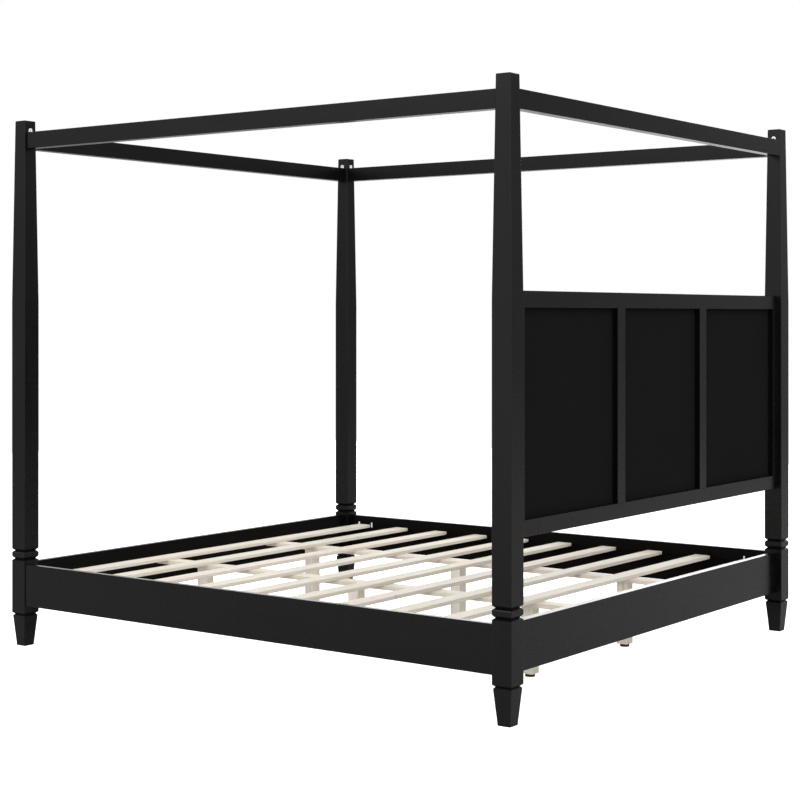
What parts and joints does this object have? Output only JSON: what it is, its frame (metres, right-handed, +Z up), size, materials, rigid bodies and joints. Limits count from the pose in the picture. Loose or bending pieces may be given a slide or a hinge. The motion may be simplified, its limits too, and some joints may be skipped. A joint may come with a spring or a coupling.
{
  "type": "four poster canopy bed",
  "caption": "Black four poster bed with tapered square posts, a canopy rail ring, a panelled headboard, and a slatted base on side ledgers and centre legs.",
  "frame": {"origin": "on the floor under the middle of the bed", "axes": "+Z up, +Y towards the headboard, +X the right-hand side seen from the foot of the bed"},
  "size_m": [2.005, 2.203, 1.95],
  "materials": {
    "black_lacquer": "semi-gloss black lacquer on wood",
    "black_panel": "flat matte black board",
    "black_stain": "matte black stain",
    "pale_wood": "unfinished planed softwood",
    "peg_wood": "plain turned dowel",
    "zinc_steel": "bright zinc plated steel",
    "black_steel": "black oxide screws",
    "black_plastic": "moulded black plastic"
  },
  "bodies": {
    "frame": {"post_head_right": "black_lacquer", "post_head_left": "black_lacquer", "post_foot_right": "black_lacquer", "post_foot_left": "black_lacquer", "rail_side_right": "black_lacquer", "rail_side_left": "black_lacquer", "rail_foot": "black_lacquer", "rail_head": "black_lacquer", "canopy_side_right": "black_lacquer", "canopy_side_left": "black_lacquer", "canopy_head": "black_lacquer", "canopy_foot": "black_lacquer", "headboard_top_rail": "black_lacquer", "headboard_bottom_rail": "black_lacquer", "headboard_stile_right": "black_lacquer", "headboard_stile_left": "black_lacquer", "headboard_mullion_right": "black_lacquer", "headboard_mullion_left": "black_lacquer", "headboard_panel_right": "black_panel", "headboard_panel_middle": "black_panel", "headboard_panel_left": "black_panel", "slat_01": "pale_wood", "slat_02": "pale_wood", "slat_03": "pale_wood", "slat_04": "pale_wood", "slat_05": "pale_wood", "slat_06": "pale_wood", "slat_07": "pale_wood", "slat_08": "pale_wood", "slat_09": "pale_wood", "slat_10": "pale_wood", "support_board_right": "pale_wood", "support_board_left": "pale_wood", "support_leg_right_1": "pale_wood", "support_leg_right_2": "pale_wood", "support_leg_right_3": "pale_wood", "support_leg_left_1": "pale_wood", "support_leg_left_2": "pale_wood", "support_leg_left_3": "pale_wood", "ledger_right": "black_stain", "ledger_left": "black_stain", "rail_hook_plates": "zinc_steel", "post_slot_plates": "zinc_steel", "rail_plate_screws": "zinc_steel", "canopy_end_plates": "zinc_steel", "canopy_screws": "zinc_steel", "slat_screws": "zinc_steel", "leg_bolts": "zinc_steel", "threaded_inserts": "zinc_steel", "slat_pegs": "peg_wood", "ledger_screws": "black_steel"},
    "leveller_right_1": {"glide_right_1": "black_plastic"},
    "leveller_right_2": {"glide_right_2": "black_plastic"},
    "leveller_right_3": {"glide_right_3": "black_plastic"},
    "leveller_left_1": {"glide_left_1": "black_plastic"},
    "leveller_left_2": {"glide_left_2": "black_plastic"},
    "leveller_left_3": {"glide_left_3": "black_plastic"}
  },
  "joints": [
    {"name": "leveller_right_1_slide", "type": "slide", "parent": "frame", "child": "leveller_right_1", "axis": [0, 0, -1], "range_m": [0, 0.012]},
    {"name": "leveller_right_2_slide", "type": "slide", "parent": "frame", "child": "leveller_right_2", "axis": [0, 0, -1], "range_m": [0, 0.012]},
    {"name": "leveller_right_3_slide", "type": "slide", "parent": "frame", "child": "leveller_right_3", "axis": [0, 0, -1], "range_m": [0, 0.012]},
    {"name": "leveller_left_1_slide", "type": "slide", "parent": "frame", "child": "leveller_left_1", "axis": [0, 0, -1], "range_m": [0, 0.012]},
    {"name": "leveller_left_2_slide", "type": "slide", "parent": "frame", "child": "leveller_left_2", "axis": [0, 0, -1], "range_m": [0, 0.012]},
    {"name": "leveller_left_3_slide", "type": "slide", "parent": "frame", "child": "leveller_left_3", "axis": [0, 0, -1], "range_m": [0, 0.012]}
  ]
}
